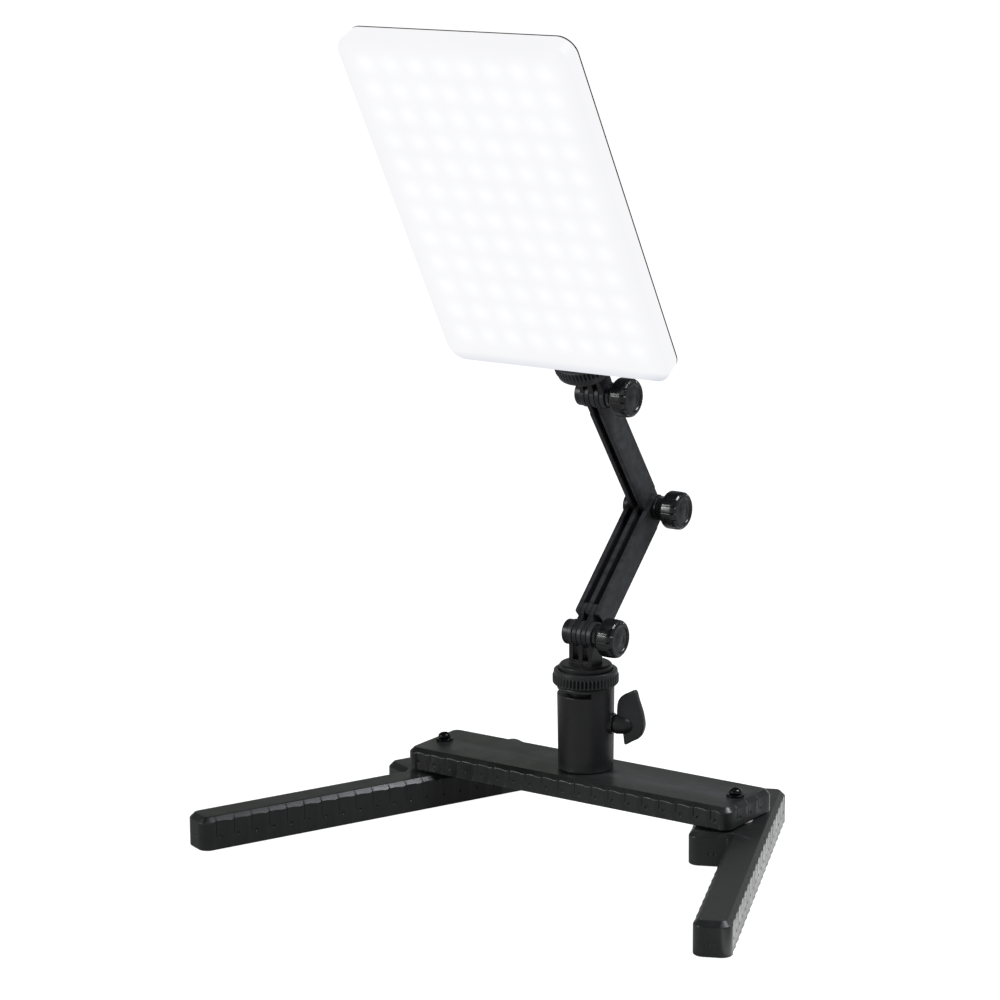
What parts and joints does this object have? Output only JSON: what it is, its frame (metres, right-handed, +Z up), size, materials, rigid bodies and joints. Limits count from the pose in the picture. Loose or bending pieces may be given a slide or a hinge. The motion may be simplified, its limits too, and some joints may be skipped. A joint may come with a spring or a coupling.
{
  "type": "panel light",
  "caption": "Lit white panel on a two-link friction arm, with a round column and a folding two-legged table base.",
  "frame": {"origin": "middle of the footprint, on the table", "axes": "+Z up, +X along the base bar to the right as seen from the lit side, -Y the way the panel faces"},
  "size_m": [0.3106, 0.212, 0.4092],
  "materials": {
    "base_moulding": "fine-grained black moulded nylon",
    "column_moulding": "satin black moulded plastic",
    "arm_moulding": "satin black moulded plastic with rib grooves",
    "knob_plastic": "glossy black fluted plastic",
    "ring_plastic": "black plastic with a fine knurl",
    "foot_rubber": "matt black rubber",
    "plain_steel": "zinc-plated steel",
    "black_screw": "black oxide steel, lightly oiled",
    "nylon_washer": "natural nylon",
    "brass_insert": "turned brass",
    "milk_diffuser": "milk-white translucent acrylic, lit from behind",
    "lamp_board": "white solder mask with yellow phosphor lamps",
    "spreader_sheet": "plain rolled aluminium",
    "housing_plastic": "fine-sparked black moulded plastic",
    "circuit_board": "green solder mask",
    "battery_wrap": "blue shrink wrap"
  },
  "bodies": {
    "base": {"base_bar": "base_moulding", "base_cover": "base_moulding", "base_stiffener": "plain_steel", "column": "column_moulding", "column_bolt": "plain_steel", "pivot_washer_left": "black_screw", "pivot_washer_right": "black_screw", "friction_washer_left": "nylon_washer", "friction_washer_right": "nylon_washer"},
    "left_leg": {"leg_left": "base_moulding", "pad_left_toe": "foot_rubber", "pad_left_heel": "foot_rubber", "pivot_screw_left": "black_screw", "pivot_nut_left": "plain_steel"},
    "right_leg": {"leg_right": "base_moulding", "pad_right_toe": "foot_rubber", "pad_right_heel": "foot_rubber", "pivot_screw_right": "black_screw", "pivot_nut_right": "plain_steel"},
    "clamp": {"wing_knob": "column_moulding", "clamp_screw": "plain_steel"},
    "lower_ring": {"lock_ring_lower": "ring_plastic"},
    "head": {"head_swivel": "column_moulding", "hinge_nut_lower": "plain_steel"},
    "foot_knob": {"hinge_knob_lower": "knob_plastic", "hinge_bolt_lower": "plain_steel"},
    "lower_arm": {"arm_lower": "arm_moulding", "hinge_nut_knee": "plain_steel"},
    "knee_knob": {"hinge_knob_knee": "knob_plastic", "hinge_bolt_knee": "plain_steel"},
    "upper_arm": {"arm_upper": "arm_moulding"},
    "top_mount": {"top_swivel": "column_moulding", "hinge_nut_upper": "plain_steel"},
    "top_knob": {"hinge_knob_upper": "knob_plastic", "hinge_bolt_upper": "plain_steel"},
    "upper_ring": {"lock_ring_upper": "ring_plastic"},
    "panel": {"diffuser": "milk_diffuser", "led_board": "lamp_board", "heat_spreader": "spreader_sheet", "rear_housing": "housing_plastic", "mount_insert": "brass_insert", "rear_cover": "housing_plastic", "cover_screw_1": "black_screw", "cover_screw_2": "black_screw", "cover_screw_3": "black_screw", "cover_screw_4": "black_screw", "driver_board": "circuit_board", "battery_pack": "battery_wrap", "dimmer_body": "plain_steel", "inlet_socket": "housing_plastic"},
    "dimmer": {"dimmer_knob": "housing_plastic"},
    "button": {"power_button": "housing_plastic"}
  },
  "joints": [
    {"name": "left_leg_swing", "type": "hinge", "parent": "base", "child": "left_leg", "pos_m": [-0.09763, 0.0394, 0], "axis": [0, 0, 1], "range_deg": [0, 108]},
    {"name": "right_leg_swing", "type": "hinge", "parent": "base", "child": "right_leg", "pos_m": [0.07957, 0.0394, 0], "axis": [0, 0, 1], "range_deg": [-113.4, 0]},
    {"name": "clamp_turn", "type": "hinge", "parent": "base", "child": "clamp", "pos_m": [-0.00903, 0.0394, 0.054], "axis": [0.972, 0.2351, 0], "continuous": true},
    {"name": "lower_ring_turn", "type": "hinge", "parent": "base", "child": "lower_ring", "pos_m": [-0.00903, 0.0394, 0.078], "axis": [0, 0, 1], "continuous": true},
    {"name": "head_turn", "type": "hinge", "parent": "base", "child": "head", "pos_m": [-0.00903, 0.0394, 0.0995], "axis": [0, 0, 1], "continuous": true},
    {"name": "foot_hinge", "type": "hinge", "parent": "head", "child": "lower_arm", "pos_m": [-0.00903, 0.0394, 0.0995], "axis": [1, 0, 0], "range_deg": [-44, 84]},
    {"name": "foot_knob_turn", "type": "hinge", "parent": "head", "child": "foot_knob", "pos_m": [-0.00903, 0.0394, 0.0995], "axis": [1, 0, 0], "continuous": true},
    {"name": "knee_hinge", "type": "hinge", "parent": "lower_arm", "child": "upper_arm", "pos_m": [-0.00903, 0.09639, 0.15493], "axis": [-1, 0, 0], "range_deg": [-12, 150]},
    {"name": "knee_knob_turn", "type": "hinge", "parent": "lower_arm", "child": "knee_knob", "pos_m": [-0.00903, 0.09639, 0.15493], "axis": [1, 0, 0], "continuous": true},
    {"name": "panel_tilt", "type": "hinge", "parent": "upper_arm", "child": "top_mount", "pos_m": [-0.00903, 0.0516, 0.2206], "axis": [1, 0, 0], "range_deg": [-95, 95]},
    {"name": "top_knob_turn", "type": "hinge", "parent": "top_mount", "child": "top_knob", "pos_m": [-0.00903, 0.0516, 0.2206], "axis": [1, 0, 0], "continuous": true},
    {"name": "panel_turn", "type": "hinge", "parent": "top_mount", "child": "panel", "pos_m": [-0.00903, 0.0516, 0.2206], "axis": [0, -0.4879, 0.8729], "continuous": true},
    {"name": "upper_ring_turn", "type": "hinge", "parent": "top_mount", "child": "upper_ring", "pos_m": [-0.00903, 0.0516, 0.2206], "axis": [0, -0.4879, 0.8729], "continuous": true},
    {"name": "dimmer_turn", "type": "hinge", "parent": "panel", "child": "dimmer", "pos_m": [-0.02303, 0.00427, 0.30527], "axis": [0, 0.8729, 0.4879], "range_deg": [0, 300]},
    {"name": "button_press", "type": "slide", "parent": "panel", "child": "button", "axis": [0, -0.8729, -0.4879], "range_m": [0, 0.0008], "stiffness_N_per_m": 900, "springref_m": -0.0002}
  ]
}
